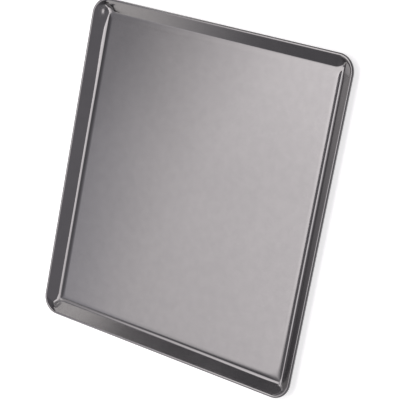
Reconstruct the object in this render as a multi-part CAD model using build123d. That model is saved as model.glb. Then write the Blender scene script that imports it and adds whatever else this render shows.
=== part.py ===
from build123d import *
import os
from math import acos, atan, ceil, cos, degrees, radians, sin, tan

# Cookie sheet, 14 by 15 1/2 inches, pressed from one sheet of coated steel.
# Its edge is rolled round a steel wire that stiffens the rim.
# Millimetres, +X across, +Y along, +Z up. The origin lies on the surface that
# the sheet stands on, under the middle of its base.

# Overall sizes, outside the rolled rim
sheet_width = 14 * IN
sheet_length = 15.5 * IN
overall_height = 10.6
corner_radius = 21.0

# Thickness of the steel sheet
steel = 0.7

# Wire in the rolled edge, drawn with narrow flats like the inside of the curl
# that holds it, and the gap where its ends meet
wire_diameter = 2.3
wire_flat_count = 16
wire_clearance = 0.05
wire_end_gap = 0.6
wire_end_place = 60.0

# Curl round the wire: how closely its edge comes back to the sloping side, and
# how much of that side's height is rolled together with it
curl_clearance = 0.35
curl_lead = 1.2

# Sloping side. Its corners are tight folds that run up from the channel to a
# share of the side's height, and from there they open out to the round rim.
side_angle = 37.7
foot_corner = 3.5
foot_bend = 5.0
fold_corner = 4.0
fold_height_share = 0.5

# Channel that the sheet stands on, and the base panel pressed up inside it
channel_width = 0.4
base_rise = 1.05
base_rise_run = 3.7
base_corner = 5.0
base_bend = 22.0

# Sizes that follow from those above
slope = radians(side_angle)
rise_slope = atan(base_rise / base_rise_run)
curl_inner = wire_diameter / 2 + wire_clearance
curl_outer = curl_inner + steel
rim_height = overall_height - curl_outer
rim_corner = corner_radius - curl_outer


def ring(inset, radius, height):
    """Level rounded rectangle, that far inside the overall outline."""
    width = sheet_width - 2 * inset
    length = sheet_length - 2 * inset
    return Pos(0, 0, height) * RectangleRounded(width, length, radius)


def tapered(lower_ring, upper_ring):
    """Solid between two level rings, straight from one to the other."""
    return loft([lower_ring, upper_ring], ruled=True)


# Section of the rolled rim, as (distance outward from the wire, height above it)


def curl_point(radius, turned):
    """Point on a circle round the wire, turned outward from where the side meets it."""
    angle = radians(90 + side_angle - turned)
    return (radius * cos(angle), radius * sin(angle))


def down_the_side(point, height):
    """Where the slope through a point of the section comes to a height."""
    return (point[0] - (point[1] - height) / tan(slope), height)


seam = curl_point(curl_inner, 0)[1] - curl_lead
top_of_side = down_the_side(curl_point(curl_outer, 0), seam)
underside_of_side = down_the_side(curl_point(curl_inner, 0), seam)


def curl_section():
    """Sheet curled round the wire, with the top of the side that it grows from."""
    whole_turn = 360 - degrees(acos((curl_inner - curl_clearance) / curl_outer))
    outside = [curl_point(curl_outer, turn) for turn in (0, whole_turn / 2, whole_turn)]
    flat_turn = 360 / wire_flat_count
    turns = [flat_turn * flat for flat in range(ceil(whole_turn / flat_turn))] + [whole_turn]
    inside = [curl_point(curl_inner, turn) for turn in reversed(turns)]
    outline = Line(top_of_side, outside[0]) + ThreePointArc(*outside)
    outline += Polyline(outside[-1], *inside, underside_of_side, top_of_side)
    return make_face(outline)


# Both pieces of the rim follow the centre line of the wire


def rim_path():
    return ring(curl_outer, rim_corner, rim_height).wire()


def rim_plane(path):
    """Plane across the start of the path, with x outward and y up."""
    forward = path % 0
    outward = forward.cross(Vector(0, 0, 1))
    return Plane(origin=path @ 0, x_dir=outward, z_dir=-forward)


def rolled_rim():
    path = rim_path()
    return sweep(rim_plane(path) * curl_section(), path=path)


# Pan below the rolled rim: sloping side, channel and raised base panel. Both
# faces of the sheet have this form, at a depth of nought or of its thickness.

side_top = rim_height + seam
side_top_inset = curl_outer - top_of_side[0]
foot_inset = side_top_inset + (side_top - steel) / tan(slope)
fold_top = steel + (side_top - steel) * fold_height_share
fold_top_inset = foot_inset - (fold_top - steel) / tan(slope)
rise_inset = foot_inset + foot_bend * (tan(slope / 2) + tan(rise_slope / 2)) + channel_width


def level_faces(solid):
    """Level faces of a solid, from the lowest up."""
    return solid.faces().filter_by(Plane.XY).sort_by(Axis.Z)


def space_inside_sides(depth):
    """Everything between the sides, from a face of the sheet up to the rim."""
    shift = depth * tan(slope / 2)
    top_inset = side_top_inset - depth / sin(slope)
    foot = ring(foot_inset - shift, foot_corner + shift, steel - depth)
    fold = ring(fold_top_inset - shift, fold_corner + shift, fold_top - depth)
    top = ring(top_inset, corner_radius - top_inset, side_top)
    space = tapered(foot, fold) + tapered(fold, top)
    foot_edges = level_faces(space)[0].outer_wire().edges()
    return fillet(foot_edges, foot_bend + depth)


def base_panel(depth):
    """What the raised panel of the base takes out of that space."""
    shift = depth * tan(rise_slope / 2)
    corner = base_corner - shift
    return tapered(
        ring(rise_inset + shift, corner + base_rise_run, steel - depth),
        ring(rise_inset + shift + base_rise_run, corner, steel - depth + base_rise),
    )


def space_above_sheet(depth):
    """The space between the sides, with its floor pressed up and the bends rounded."""
    space = space_inside_sides(depth) - base_panel(depth)
    rise_edges = level_faces(space)[0].inner_wires()[0].edges()
    space = fillet(rise_edges, foot_bend + depth)
    panel_edges = level_faces(space)[1].outer_wire().edges()
    return fillet(panel_edges, base_bend + steel - depth)


def pan_sheet():
    """The whole pressed sheet, down from its rolled rim."""
    pressed = space_above_sheet(steel) - space_above_sheet(0)
    return pressed + rolled_rim()


def rim_wire():
    """Wire bent round the rim, with its two ends a little apart in one long side."""
    path = rim_path()
    section = Rot(0, 0, 90 + side_angle) * RegularPolygon(wire_diameter / 2, wire_flat_count)
    wire = sweep(rim_plane(path) * section, path=path)
    place = (sheet_width / 2 - curl_outer, wire_end_place, rim_height)
    return wire - Pos(*place) * Box(2 * curl_inner, wire_end_gap, 2 * curl_inner)


parts = {
    "pan_sheet": pan_sheet(),
    "rim_wire": rim_wire(),
}
os.makedirs("parts", exist_ok=True)
for name, piece in parts.items():
    piece.label = name
    export_step(piece, f"parts/{name}.step")
    print(name, round(piece.volume), "cubic mm", piece.bounding_box().size)
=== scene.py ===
import math
import bpy
import numpy as np
from mathutils import Matrix, Vector


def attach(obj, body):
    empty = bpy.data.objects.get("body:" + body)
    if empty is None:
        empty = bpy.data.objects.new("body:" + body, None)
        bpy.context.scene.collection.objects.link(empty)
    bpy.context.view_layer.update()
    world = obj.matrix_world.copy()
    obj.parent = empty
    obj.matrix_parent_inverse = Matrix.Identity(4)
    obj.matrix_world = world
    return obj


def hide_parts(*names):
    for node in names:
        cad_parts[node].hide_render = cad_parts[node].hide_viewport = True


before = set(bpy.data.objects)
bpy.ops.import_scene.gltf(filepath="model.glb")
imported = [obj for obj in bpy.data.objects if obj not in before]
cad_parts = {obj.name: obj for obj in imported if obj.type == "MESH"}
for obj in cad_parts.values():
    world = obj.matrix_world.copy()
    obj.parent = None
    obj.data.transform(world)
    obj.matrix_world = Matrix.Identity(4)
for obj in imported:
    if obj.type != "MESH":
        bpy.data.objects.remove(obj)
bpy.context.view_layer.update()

scene = bpy.context.scene

# Camera, solved from the outline of the sheet and the lines of its base.
# It is rolled so that the longer side stands up in the picture.
camera_place = Vector((0.8559, 0.3205, 1.3793))
camera_aim = Vector((0.0131, -0.0060, 0.0011))
camera_roll = math.radians(-97.36)

camera_data = bpy.data.cameras.new("camera")
camera_data.sensor_width = 36.0
camera_data.lens = 128.54
camera_data.clip_start = 0.05
camera_data.clip_end = 50.0
camera = bpy.data.objects.new("camera", camera_data)
scene.collection.objects.link(camera)
forward = (camera_aim - camera_place).normalized()
level = forward.cross(Vector((0, 0, 1))).normalized()
over = level.cross(forward)
right = math.cos(camera_roll) * level + math.sin(camera_roll) * over
up = right.cross(forward)
turn = Matrix((right, up, -forward)).transposed().to_4x4()
camera.matrix_world = Matrix.Translation(camera_place) @ turn
scene.camera = camera


class Nodes:
    """Short way to add shader nodes and join them."""

    def __init__(self, tree):
        self.tree = tree
        tree.nodes.clear()

    def add(self, kind, inputs=None, **settings):
        """Node with those settings. Its inputs are values or the outputs of other nodes."""
        node = self.tree.nodes.new(kind)
        for name, value in settings.items():
            setattr(node, name, value)
        for name, value in (inputs or {}).items():
            socket = node.inputs[name]
            if isinstance(value, bpy.types.NodeSocket):
                self.tree.links.new(value, socket)
            else:
                socket.default_value = value
        return node

    def math(self, operation, *values):
        return self.add("ShaderNodeMath", dict(enumerate(values)), operation=operation).outputs[0]

    def product(self, first, *others):
        for other in others:
            first = self.math("MULTIPLY", first, other)
        return first

    def noise(self, where, scale, detail, rough):
        inputs = {"Vector": where, "Scale": scale, "Detail": detail, "Roughness": rough}
        return self.add("ShaderNodeTexNoise", inputs).outputs["Fac"]

    def spread(self, value, low, high, out_low, out_high, smooth=False):
        """Value carried from one range to another, and held at the ends of that."""
        kind = "SMOOTHSTEP" if smooth else "LINEAR"
        inputs = {"Value": value, "From Min": low, "From Max": high, "To Min": out_low, "To Max": out_high}
        return self.add("ShaderNodeMapRange", inputs, interpolation_type=kind).outputs["Result"]

    def ramp(self, value, stops):
        """Level that runs straight from stop to stop, each a place and its level."""
        node = self.add("ShaderNodeValToRGB", {"Fac": value})
        places = node.color_ramp.elements
        for at, level in stops[1:-1]:
            places.new(at).color = (level, level, level, 1)
        for element, (at, level) in ((places[0], stops[0]), (places[-1], stops[-1])):
            element.position = at
            element.color = (level, level, level, 1)
        return node.outputs["Color"]

    def blend(self, share, first, second):
        """Colour between two others, which the mixing node takes at its sockets 6 and 7."""
        return self.add("ShaderNodeMix", {0: share, 6: first, 7: second}, data_type="RGBA").outputs[2]

    def end(self, kind, shader):
        self.add(kind, {"Surface": shader.outputs[0]})


def new_material(name):
    material = bpy.data.materials.new(name)
    material.use_nodes = True
    return material, Nodes(material.node_tree)


def grey(value, warmth=0.0):
    return (value * (1 + warmth), value, value * (1 - warmth), 1.0)


# Range that most of a noise lies in, on either side of a half
noise_low = 0.3
noise_high = 0.7
speck_low = 0.35


def coated_steel():
    """Dark grey coating with a satin metallic sheen, very finely grained."""
    darkest = grey(0.12, -0.01)
    lightest = grey(0.28, 0.01)
    material, nodes = new_material("coated_steel")
    where = nodes.add("ShaderNodeTexCoord").outputs["Object"]
    grain = nodes.noise(where, scale=2500.0, detail=2.0, rough=0.6)
    cloud = nodes.noise(where, scale=14.0, detail=3.0, rough=0.55)
    mottle = nodes.noise(where, scale=90.0, detail=4.0, rough=0.55)
    speck = nodes.noise(where, scale=900.0, detail=3.0, rough=0.7)
    # Each noise, where its range starts, and how far it moves the tone either way
    swings = (
        (grain, noise_low, 0.05),
        (cloud, noise_low, 0.02),
        (mottle, noise_low, 0.033),
        (speck, speck_low, 0.03),
    )
    tone = 0.5
    for texture, low, swing in swings:
        tone = nodes.math("ADD", tone, nodes.spread(texture, low, 1 - low, -swing, swing))
    colour = nodes.blend(tone, darkest, lightest)
    fine_rough = nodes.spread(grain, noise_low, noise_high, -0.02, 0.03)
    broad_rough = nodes.spread(cloud, noise_low, noise_high, 0.12, 0.14)
    rough = nodes.math("ADD", fine_rough, broad_rough)
    bump = nodes.add("ShaderNodeBump", {"Height": speck, "Strength": 0.02, "Distance": 0.0002}).outputs[0]
    inputs = {"Base Color": colour, "Metallic": 1.0, "Roughness": rough, "Normal": bump}
    nodes.end("ShaderNodeOutputMaterial", nodes.add("ShaderNodeBsdfPrincipled", inputs))
    return material


def steel_wire():
    """Bare steel wire, faintly uneven."""
    darkest = grey(0.42, 0.01)
    lightest = grey(0.58, 0.01)
    material, nodes = new_material("steel_wire")
    where = nodes.add("ShaderNodeTexCoord").outputs["Object"]
    uneven = nodes.noise(where, scale=600.0, detail=4.0, rough=0.7)
    share = nodes.spread(uneven, noise_low, noise_high, 0.0, 1.0)
    colour = nodes.blend(share, darkest, lightest)
    rough = nodes.spread(uneven, noise_low, noise_high, 0.25, 0.45)
    inputs = {"Base Color": colour, "Metallic": 1.0, "Roughness": rough}
    nodes.end("ShaderNodeOutputMaterial", nodes.add("ShaderNodeBsdfPrincipled", inputs))
    return material


# The sheet again, in millimetres, finer and less regular than the solid. Its
# outline, curl, thickness and height of base are the solid's. Insets are measured
# from the outline. Down to the seam the sides keep their plain shape, and the
# flat of the channel starts at the valley.
per_metre = 1000.0
half = np.array((355.6, 393.7)) / 2
overall_height = 10.6
curl_radius = 1.9
curl_height = overall_height - curl_radius
curl_turn = math.radians(296)
round_corner = 21.0
steel = 0.7
seam = 5.17
valley = 17.05
valley_width = 0.4
base_top = 1.75

# Radius of the bend at the foot of each side. The folds are tight. The bend
# changes from the middle of a side toward its ends, and then to tight at its far
# or right end. Both changes are given by shares of half the side's length.
tight_bend = 3.0
left_bend = 5.8
left_bend_near = 7.2
left_bend_far = 9.0
right_bend = 3.2
right_bend_ends = 2.8
near_bend_ends = 4.2
bend_change = (0.45, 0.86)
bend_tightening = (0.86, 1.0)

# Lines of the channel beside each side: the foot of the side, and the start of
# the rise to the base. Each has how far in it is moved at its middle, and how
# much further for each millimetre along it. The near rise bows alike to both ends.
left_foot = (0.85, 0.0044)
right_foot = (-0.5, 0.0044)
far_foot = (0.35, 0.0025)
near_foot = (0.05, -0.003)
left_rise = (0.1, 0.0045)
right_rise = (-0.26, 0.0045)
far_rise = (0.4, 0.0)
near_rise = (0.25, -0.005)

# The left foot runs further in toward its far end, the right rise further out
# toward its near end, and the far foot outward at both of its ends. The first two
# start that far from the middle, the last that far in from the outline.
left_foot_inward = 1.4
left_foot_turn = 50.0
left_foot_turn_run = 90.0
right_rise_outward = 0.4
right_rise_turn = 90.0
right_rise_turn_run = 70.0
far_foot_outward = 4.5
far_foot_turn = 27.0

# Swelling of the right side beside the far corner. It slopes less below the seam
# and more above its own foot. That foot is so far in from the right, and the
# swelling starts so far in from the far side.
swell_upper_slope = 0.53
swell_lower_slope = 1.1
swell_foot = 16.8
swell_start = 32.0
swell_run = 18.0

# Small swellings and a hollow beside the left corners: height, middle, reach
# along and across, and how far each is turned. They fade in below the seam.
pleat_shapes = (
    (0.62, (-162.8, 179.0), (4.0, 5.5), 0.0),
    (0.75, (-155.8, 189.2), (6.5, 1.5), math.radians(26)),
    (-0.35, (-162.3, -188.3), (6.0, 1.8), math.radians(60)),
)
pleat_run = 1.2

# Corners. The fold between two sides is eased by so much at such heights above
# the foot, so that it is narrow at its top. The round corner above it is gathered
# from that far in, and is steeper than the sides. Eases round where surfaces meet.
# Away from the corners, the round ones count as far below.
fold_heights = (0.0, 0.6, 1.5, 4.2)
fold_eases = (1.6, 2.2, 2.2, 0.7)
gather_inset = 3.3
gather_slope = math.tan(math.radians(60))
gather_ease = 0.5
round_ease = 0.7
far_below = -1000.0

# Rise to the base, hollow first and then crowned, with the radius of both bends
# together. The hollow bends more widely beside the right side, away from its
# corners. One corner of the base is rounder than the others. An ease of so many
# radii gives a corner about its radius.
rise_bends = 26.5
left_hollow_bend = 2.5
right_hollow_bend = 2.8
hollow_change = 8.0
base_corner = 3.5
near_right_corner = 14.0
ease_for_radius = 1.17
rise_angle = math.acos(1 - (base_top - steel) / rise_bends)
rise_start = valley + valley_width
rise_end = rise_start + rise_bends * math.sin(rise_angle)

# Faint waves of the base, which grow from its edge inward
wave_height = 0.03
wave_lengths = (31.0, 43.0)
wave_starts = (1.3, 0.4)
slant_wave_lengths = (17.0, 23.0)
slant_wave_share = 0.6
wave_inset = 25.0
wave_run = 40.0

# Stations round each row of the mesh: on a corner, and on a straight side, where
# they are closer near its ends
corner_stations = 24
side_stations = 24
end_stations = 9
end_reach = 20.0

# Rows of the mesh: on the curl, under it, and over the base. Between these each
# stretch ends that far in, with that corner radius, after so many rows.
curl_row_count = 27
rim_insets = (3.4, 3.8, 4.2, 4.5, 4.75, 4.95, seam)
stretches = (
    (9.6, 4.0, 16),
    (valley, 1.2, 30),
    (rise_start, base_corner, 4),
    (25.6, base_corner, 29),
)
base_insets = (26.5, 28, 31, 35, 40, 47, 56, 68, 82, 98, 114, 130, 146, 160, 172)

# Smallest length that counts, the search for the slope of a side in radians, and
# how far faces must turn for their edge to stay sharp
tiny = 1e-6
flattest_slope = 0.4
steepest_slope = 1.2
halvings = 40
sharp_angle = math.radians(50)


def smooth_share(share):
    """Share from nought to one, eased at both ends."""
    share = np.clip(share, 0, 1)
    return share * share * (3 - 2 * share)


def higher(first, second, ease):
    """The higher of two heights, eased where they meet."""
    ease = np.maximum(ease, tiny)
    near = np.clip(ease - np.abs(first - second), 0, None)
    return np.maximum(first, second) + near ** 2 / (4 * ease)


def lower(first, second, ease):
    """The lower of two heights, eased where they meet."""
    return -higher(-first, -second, ease)


def askew(line, along):
    """How far in a line of the channel is moved, at a place along it."""
    middle, slant = line
    return middle + slant * along


def side_slope(bend):
    """Angle of a side that touches the curl and a foot bend of that radius."""
    low = np.full_like(bend, flattest_slope)
    high = np.full_like(bend, steepest_slope)
    for _ in range(halvings):
        middle = (low + high) / 2
        foot = curl_radius + curl_radius / np.sin(middle) + (curl_height - steel) / np.tan(middle)
        too_flat = foot > valley - bend * np.tan(middle / 2)
        low, high = np.where(too_flat, middle, low), np.where(too_flat, high, middle)
    return (low + high) / 2


# Slope of the sides where they meet in folds, and their height at the seam
fold_slope = side_slope(np.array([tight_bend]))[0]
seam_height = steel + (valley - tight_bend * math.tan(fold_slope / 2) - seam) * math.tan(fold_slope)


def bend_along(along, length, middle, ends):
    """Radius of a foot bend, which changes toward its ends and is tight at the far or right one."""
    toward_ends = np.interp(np.abs(along) / length, bend_change, (0.0, 1.0))
    bend = middle + (ends - middle) * toward_ends
    return bend + (tight_bend - bend) * np.interp(along / length, bend_tightening, (0.0, 1.0))


def long_side_bend(place):
    """Radius of the foot bend of the left and the right side."""
    x, y = place.T
    left_ends = np.where(y > 0, left_bend_far, left_bend_near)
    middle = np.where(x < 0, left_bend, right_bend)
    ends = np.where(x < 0, left_ends, right_bend_ends)
    return bend_along(y, half[1] - valley, middle, ends)


def short_side_bend(place):
    """Radius of the foot bend of the far and the near side."""
    x, y = place.T
    ends = np.where(y > 0, tight_bend, near_bend_ends)
    return bend_along(x, half[0] - valley, tight_bend, ends)


def foot_shifts(place):
    """How far in the foot is moved, of the long sides and of the short ones."""
    x, y = place.T
    inward = left_foot_inward * smooth_share((y - left_foot_turn) / left_foot_turn_run)
    long_sides = np.where(x < 0, askew(left_foot, y) + inward, askew(right_foot, y))
    from_side = half[0] - np.abs(x)
    outward = far_foot_outward * smooth_share((far_foot_turn - from_side) / (far_foot_turn - valley))
    short_sides = np.where(y > 0, askew(far_foot, x) - outward, askew(near_foot, x))
    return long_sides, short_sides


def rise_shifts(place):
    """How far in the start of the rise is moved, beside the long sides and the short ones."""
    x, y = place.T
    outward = right_rise_outward * smooth_share((-y - right_rise_turn) / right_rise_turn_run)
    long_sides = np.where(x < 0, askew(left_rise, y), askew(right_rise, y) - outward)
    short_sides = np.where(y > 0, askew(far_rise, x), askew(near_rise, np.abs(x)))
    return long_sides, short_sides


def moved_in(inset, shift):
    """Where a place lies in the plain section, if the foot there is that much further in."""
    stretched = seam + (inset - seam) * (valley - seam) / (valley + shift - seam)
    return np.where(inset < seam, inset, np.where(inset < valley + shift, stretched, inset - shift))


def side_height(inset, bend):
    """Height of the upper face of one straight side, that far in from its edge.

    Past its foot it goes on down, mirrored, so that corners can be told from sides.
    """
    slope = side_slope(bend)
    outward = np.abs(valley - inset)
    line = (outward - bend * np.tan(slope / 2)) * np.tan(slope)
    arc = bend * (1 - np.sqrt(1 - np.clip(outward / bend, 0, np.sin(slope)) ** 2))
    return steel + np.sign(valley - inset) * np.where(outward > bend * np.sin(slope), line, arc)


def swelling(place, side):
    """How far the right side stands up from its plain height, beside the far corner."""
    x, y = place.T
    gap_x, gap_y = (half - np.abs(place)).T
    below_seam = seam_height - (gap_x - seam) * swell_upper_slope
    above_foot = steel + (swell_foot - gap_x) * swell_lower_slope
    swell = np.clip(np.minimum(below_seam, above_foot) - side, 0, None)
    swell = swell * smooth_share((swell_start - gap_y) / swell_run)
    return np.where((x > 0) & (y > 0) & (gap_x > seam), swell, 0)


def folded_sides(place):
    """Height of the long and the short sides, joined by folds that narrow upward."""
    gap_x, gap_y = (half - np.abs(place)).T
    shift_x, shift_y = foot_shifts(place)
    long_side = side_height(moved_in(gap_x, shift_x), long_side_bend(place))
    long_side = long_side + swelling(place, long_side)
    short_side = side_height(moved_in(gap_y, shift_y), short_side_bend(place))
    ease = np.interp(np.maximum(long_side, short_side) - steel, fold_heights, fold_eases)
    return higher(long_side, short_side, ease)


def gathered_corner(inset, turned):
    """Height of a round corner, which leaves the rim like a side and is then gathered."""
    like_side = seam_height + (seam - inset) * math.tan(fold_slope)
    gather_top = seam_height + (seam - gather_inset) * math.tan(fold_slope)
    gathered = gather_top + (gather_inset - inset) * gather_slope
    return lower(like_side, gathered, gather_ease * turned)


def bulge(place, middle, reach, turned):
    """Long swelling of the sheet, one high in its middle, with its length turned that far."""
    offset_x, offset_y = (place - np.array(middle)).T
    along = offset_x * math.cos(turned) + offset_y * math.sin(turned)
    across = offset_y * math.cos(turned) - offset_x * math.sin(turned)
    return np.exp(-(along / reach[0]) ** 2 - (across / reach[1]) ** 2)


def pleats(place, inset):
    """Small swellings and a hollow that the folding leaves beside the left corners."""
    shape = sum(height * bulge(place, *form) for height, *form in pleat_shapes)
    return shape * smooth_share((inset - seam) / pleat_run)


def pan_height(place):
    """Height of the sides with their folded and gathered corners."""
    gap = half - np.abs(place)
    inner = np.clip(round_corner - gap, 0, None)
    in_corner = inner.min(-1) > 0
    inset = np.where(in_corner, round_corner - np.hypot(*inner.T), gap.min(-1))
    turned = np.sin(2 * np.arctan2(inner[:, 1], inner[:, 0]))
    corner = np.where(in_corner, gathered_corner(inset, turned), far_below)
    return higher(folded_sides(place), corner, round_ease * turned) + pleats(place, inset)


def fanned(sharp, rounded):
    """Inset of a rise that starts at a sharp corner and ends at a rounded one."""
    behind = np.clip(sharp - rise_start, 0, None)
    ahead = np.clip(rise_end - rounded, 0, None)
    return rise_start + (rise_end - rise_start) * behind / np.maximum(behind + ahead, tiny)


def rise_height(inset, hollow_bend):
    """Height of the base and of the edge that lifts it, hollow first and then crowned."""
    crown_bend = rise_bends - hollow_bend
    change = rise_start + hollow_bend * math.sin(rise_angle)
    hollow_run = np.clip(inset - rise_start, 0, change - rise_start)
    crown_run = np.clip(rise_end - inset, 0, rise_end - change)
    hollow = steel + hollow_bend - np.sqrt(hollow_bend ** 2 - hollow_run ** 2)
    crown = base_top - crown_bend + np.sqrt(crown_bend ** 2 - crown_run ** 2)
    return np.where(inset < change, hollow, crown)


def waves(place):
    """How far the faint waves lift the base."""
    x, y = place.T
    crossed = np.sin(x / wave_lengths[0] + wave_starts[0]) * np.sin(y / wave_lengths[1] + wave_starts[1])
    slanting = slant_wave_share * np.sin(x / slant_wave_lengths[0] + y / slant_wave_lengths[1])
    inset = (half - np.abs(place)).min(-1)
    return wave_height * (crossed + slanting) * np.clip((inset - wave_inset) / wave_run, 0, 1)


def base_height(place):
    """Height of the base and its rise."""
    x, y = place.T
    gap_x, gap_y = (half - np.abs(place)).T
    shift_x, shift_y = rise_shifts(place)
    rise_x = moved_in(gap_x, shift_x)
    rise_y = moved_in(gap_y, shift_y)
    corner = np.where((x > 0) & (y < 0), near_right_corner, base_corner)
    inset = fanned(np.minimum(rise_x, rise_y), lower(rise_x, rise_y, ease_for_radius * corner))
    on_right = np.where(x < 0, 0.0, np.clip((rise_y - rise_x) / hollow_change, 0, 1))
    hollow_bend = left_hollow_bend + (right_hollow_bend - left_hollow_bend) * on_right
    return rise_height(inset, hollow_bend) + waves(place)


def sheet_height(place):
    """Height of the upper face inside the curl."""
    return np.maximum(np.maximum(pan_height(place), steel), base_height(place))


def stations_along(length):
    """Distances along a straight side of that length, closer near its ends."""
    near = np.linspace(0, min(end_reach, length / 3), end_stations + 1)[1:]
    between = np.linspace(near[-1], length - near[-1], side_stations)[1:-1]
    return np.concatenate((near, between, length - near[::-1]))


def ring(inset, radius):
    """Stations round a rectangle with rounded corners, that far inside the outline."""
    corners = []
    for quarter, signs in enumerate(((1, 1), (-1, 1), (-1, -1), (1, -1))):
        angles = np.radians(90 * quarter + np.linspace(0, 90, corner_stations + 1))
        centre = np.array(signs) * (half - inset - radius)
        corners.append(centre + radius * np.stack((np.cos(angles), np.sin(angles)), -1))
    loop = []
    for corner, after in zip(corners, corners[1:] + corners[:1]):
        start, end = corner[-1], after[0]
        length = np.linalg.norm(end - start)
        loop += [corner, start + (end - start) * stations_along(length)[:, None] / length]
    return np.concatenate(loop)


def curl_rows():
    """Rows of the outer face of the curl, from its free edge to the side."""
    outline = ring(0.0, round_corner)
    inward = ring(1.0, round_corner - 1.0) - outline
    on_long = np.abs(outline[:, 0]) > half[0] - tiny
    on_short = np.abs(outline[:, 1]) > half[1] - tiny
    bend = np.where(on_short, short_side_bend(outline), tight_bend)
    slope = side_slope(np.where(on_long, long_side_bend(outline), bend))
    rows = []
    for turned in np.linspace(curl_turn, 0, curl_row_count):
        angle = math.pi / 2 + slope - turned
        inset = curl_radius * (1 - np.cos(angle))
        height = curl_height + curl_radius * np.sin(angle)
        rows.append(np.column_stack((outline + inward * inset[:, None], height)))
    return rows


def sheet_rows():
    """Rows of the upper face from the curl to the middle of the base."""
    plan = [(inset, round_corner - inset) for inset in rim_insets]
    for inset, corner, steps in stretches:
        plan += list(np.linspace(plan[-1], (inset, corner), steps + 1)[1:])
    plan += [(inset, base_corner) for inset in base_insets]
    rows = []
    for inset, radius in plan:
        place = ring(inset, radius)
        rows.append(np.column_stack((place, sheet_height(place))))
    return rows


def upper_face():
    """Upper face of the whole sheet, with no thickness."""
    rows = curl_rows() + sheet_rows()
    count = len(rows[0])
    faces = []
    for start in range(0, (len(rows) - 1) * count, count):
        for station in range(count):
            after = (station + 1) % count
            faces.append([start + corner for corner in (station, after, count + after, count + station)])
    last = (len(rows) - 1) * count
    faces.append(list(range(last, last + count)))
    mesh = bpy.data.meshes.new("upper_face")
    mesh.from_pydata((np.concatenate(rows) / per_metre).tolist(), [], faces)
    surface = bpy.data.objects.new("upper_face", mesh)
    scene.collection.objects.link(surface)
    return surface


def fine_sheet():
    """The whole sheet as one mesh, with its thickness, on the plane that it stands on."""
    surface = upper_face()
    thicken = surface.modifiers.new("thickness", "SOLIDIFY")
    thicken.thickness = steel / per_metre
    thicken.offset = -1.0
    thicken.use_even_offset = True
    whole = bpy.data.meshes.new_from_object(surface.evaluated_get(bpy.context.evaluated_depsgraph_get()))
    bpy.data.objects.remove(surface)
    whole.name = "sheet"
    for vertex in whole.vertices:
        vertex.co.z = max(vertex.co.z, 0.0)
    for face in whole.polygons:
        face.use_smooth = True
    whole.set_sharp_from_angle(angle=sharp_angle)
    piece = bpy.data.objects.new("sheet", whole)
    scene.collection.objects.link(piece)
    return piece


sheet = fine_sheet()
sheet.data.materials.clear()
sheet.data.materials.append(coated_steel())
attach(sheet, "root")
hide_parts("pan_sheet")
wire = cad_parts["rim_wire"]
wire.data.materials.clear()
wire.data.materials.append(steel_wire())

# Pale floor that glows where it is looked at or mirrored, so that it is white in
# the picture, and that takes the shadow of the sheet
floor_reach = 12.0
floor_colour = (0.7, 0.7, 0.7, 1)
floor_glow = 0.65
floor_corners = [(x * floor_reach, y * floor_reach, 0) for x, y in ((-1, -1), (1, -1), (1, 1), (-1, 1))]
floor_data = bpy.data.meshes.new("floor")
floor_data.from_pydata(floor_corners, [], [(0, 1, 2, 3)])
floor = bpy.data.objects.new("floor", floor_data)
scene.collection.objects.link(floor)
floor_material, nodes = new_material("floor")
rays = nodes.add("ShaderNodeLightPath").outputs
reflected = nodes.math("MAXIMUM", rays["Is Glossy Ray"], rays["Is Transmission Ray"])
seen = nodes.math("MAXIMUM", rays["Is Camera Ray"], reflected)
matt = nodes.add("ShaderNodeBsdfDiffuse", {"Color": floor_colour})
glow_strength = nodes.math("MULTIPLY", seen, floor_glow)
glow = nodes.add("ShaderNodeEmission", {"Color": (1, 1, 1, 1), "Strength": glow_strength})
both = nodes.add("ShaderNodeAddShader", {0: matt.outputs[0], 1: glow.outputs[0]})
nodes.end("ShaderNodeOutputMaterial", both)
floor_data.materials.append(floor_material)

# Soft studio light from a dim room, lighter toward the right and toward the near
# end, with a pale wall low down on the left. Here x, y and z are a direction out
# from the sheet, and a pair of values is a range over which something changes.
room_across = (-0.3, 0.5)
room_levels = (0.27, 0.45)
room_along = (-0.1, 0.1)
far_room_share = 0.7
room_tint = (1.02, 0.97, 1.06, 1)

# The wall has a near part and a far part. Well toward the far end it is brighter,
# and dimmer further to the left. Its upper edge rises to both sides.
wall_parts = (-0.05, 0.05)
near_wall_edge = (-0.585, -0.505)
far_wall_edge = (-0.558, -0.545)
well_far = (0.5, 0.6)
well_far_level = 2.3
dimmer_left = (-0.6, -0.555)
dimmer_level = 0.15
upper_edge = (0.36, 0.44)
upper_edge_slant = 0.3
wall_level = 1.2
wall_tint = (1.03, 0.98, 0.98, 1)

# How pale the wall is, at how far a direction goes to either side. A band of its
# far part is as pale as can be.
wall_shares = ((0.0, 0.8), (0.1, 0.75), (0.2, 0.43), (0.26, 0.15), (0.3, 0.0), (0.45, 0.1), (0.62, 1.0))
band_start = (0.05, 0.15)
band_end = (0.45, 0.55)

world = bpy.data.worlds.new("room")
world.use_nodes = True
scene.world = world
nodes = Nodes(world.node_tree)
toward = nodes.add("ShaderNodeTexCoord").outputs["Generated"]
x, y, z = nodes.add("ShaderNodeSeparateXYZ", {0: toward}).outputs
aside = nodes.math("ABSOLUTE", y)
across_room = nodes.spread(x, *room_across, *room_levels)
along_room = nodes.spread(y, *room_along, 1.0, far_room_share)
room_here = nodes.product(across_room, along_room)

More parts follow.
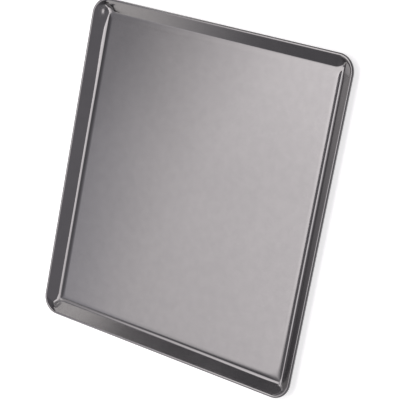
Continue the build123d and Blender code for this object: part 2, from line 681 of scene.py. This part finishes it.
near_wall = nodes.spread(x, *near_wall_edge, 1.0, 0.0, smooth=True)
far_wall = nodes.spread(x, *far_wall_edge, 1.0, 0.0, smooth=True)
not_dimmer = nodes.spread(x, *dimmer_left, dimmer_level, 1.0, smooth=True)
not_well_far = nodes.spread(y, *well_far, 1.0, 0.0)
gain = nodes.spread(y, *well_far, 1.0, well_far_level)
far_wall = nodes.product(far_wall, nodes.math("MAXIMUM", not_dimmer, not_well_far), gain)
wall = nodes.blend(nodes.spread(y, *wall_parts, 0.0, 1.0), near_wall, far_wall)
over_slant = nodes.math("SUBTRACT", z, nodes.math("MULTIPLY", aside, upper_edge_slant))
low = nodes.spread(over_slant, *upper_edge, 1.0, 0.0, smooth=True)
pale = nodes.product(wall, nodes.ramp(aside, wall_shares), low)

after_start = nodes.spread(y, *band_start, 0.0, 1.0, smooth=True)
before_end = nodes.spread(y, *band_end, 1.0, 0.0, smooth=True)
band = nodes.product(nodes.product(after_start, before_end), nodes.product(wall, low))
wall_here = nodes.product(nodes.math("MAXIMUM", pale, band), wall_level)
tint = nodes.blend(pale, room_tint, wall_tint)
brightness = nodes.math("ADD", room_here, wall_here)
nodes.end("ShaderNodeOutputWorld", nodes.add("ShaderNodeBackground", {"Color": tint, "Strength": brightness}))

# Large soft lamp over the sheet, brighter toward the right and toward the far end,
# in metres. Its levels across are given at x. That pattern leans to one side or
# the other, and its strength changes, by what is given at y.
lamp_start, lamp_end, lamp_low, lamp_high, lamp_height = -1.90, 0.05, -0.96, 0.76, 0.85
lamp_width = lamp_end - lamp_start
lamp_length = lamp_high - lamp_low
levels = ((-1.2, 0.05), (-0.82, 0.43), (-0.5, 1.85), (-0.25, 2.15), (0.0, 2.65))
end_level = 2.85
leans = ((-0.96, -0.2), (-0.16, -0.03), (0.12, 0.14), (0.55, 0.06))
strengths = ((-0.96, 0.57), (-0.4, 0.87), (-0.14, 0.96), (0.12, 1.27))
left_tint = (1.0, 0.97, 1.06, 1)
right_tint = (1.035, 0.98, 0.995, 1)

# Shares of its width or its length: where the tint changes, how far from its
# middle it fades out toward both ends, and where it is dimmed beyond a slanting
# line across its near right corner
tint_change = (0.55, 0.65)
end_fade = (0.46, 0.5)
corner_slant = 0.9
corner_fade = (0.6, 0.74)
corner_level = 0.15

# The ramps hold levels from nought to one, and these bring theirs into that range
lean_most = 0.3
level_most = 3.0
strength_most = 1.4

lamp_data = bpy.data.lights.new("softbox", "AREA")
lamp_data.shape = "RECTANGLE"
lamp_data.size = lamp_width
lamp_data.size_y = lamp_length
lamp_data.energy = math.pi * lamp_width * lamp_length
lamp_data.use_nodes = True
nodes = Nodes(lamp_data.node_tree)
spot = nodes.add("ShaderNodeNewGeometry").outputs["Parametric"]
across, along, _ = nodes.add("ShaderNodeSeparateXYZ", {0: spot}).outputs

lean_stops = [((at - lamp_low) / lamp_length, lean + lean_most) for at, lean in leans]
lean_share = nodes.math("DIVIDE", nodes.ramp(along, lean_stops), lamp_width)
level_stops = [((at - lamp_start - lean_most) / lamp_width, level / level_most) for at, level in levels]
level_stops = [(0.0, 0.0)] + level_stops + [(1.0, end_level / level_most)]
level_here = nodes.ramp(nodes.math("SUBTRACT", across, lean_share), level_stops)
strength_stops = [((at - lamp_low) / lamp_length, strength / strength_most) for at, strength in strengths]
strength_here = nodes.ramp(along, strength_stops)

to_ends = nodes.math("ABSOLUTE", nodes.math("SUBTRACT", along, 0.5))
full = nodes.spread(to_ends, *end_fade, level_most * strength_most, 0.0, smooth=True)
near_right = nodes.math("SUBTRACT", across, nodes.math("MULTIPLY", along, corner_slant))
dimmed = nodes.spread(near_right, *corner_fade, 1.0, corner_level, smooth=True)
strength = nodes.product(level_here, strength_here, full, dimmed)
tint = nodes.blend(nodes.spread(across, *tint_change, 0.0, 1.0), left_tint, right_tint)
nodes.end("ShaderNodeOutputLight", nodes.add("ShaderNodeEmission", {"Color": tint, "Strength": strength}))
lamp = bpy.data.objects.new("softbox", lamp_data)
lamp.location = (lamp_start + lamp_width / 2, lamp_low + lamp_length / 2, lamp_height)
lamp.visible_camera = False
scene.collection.objects.link(lamp)

scene.view_settings.view_transform = "Standard"
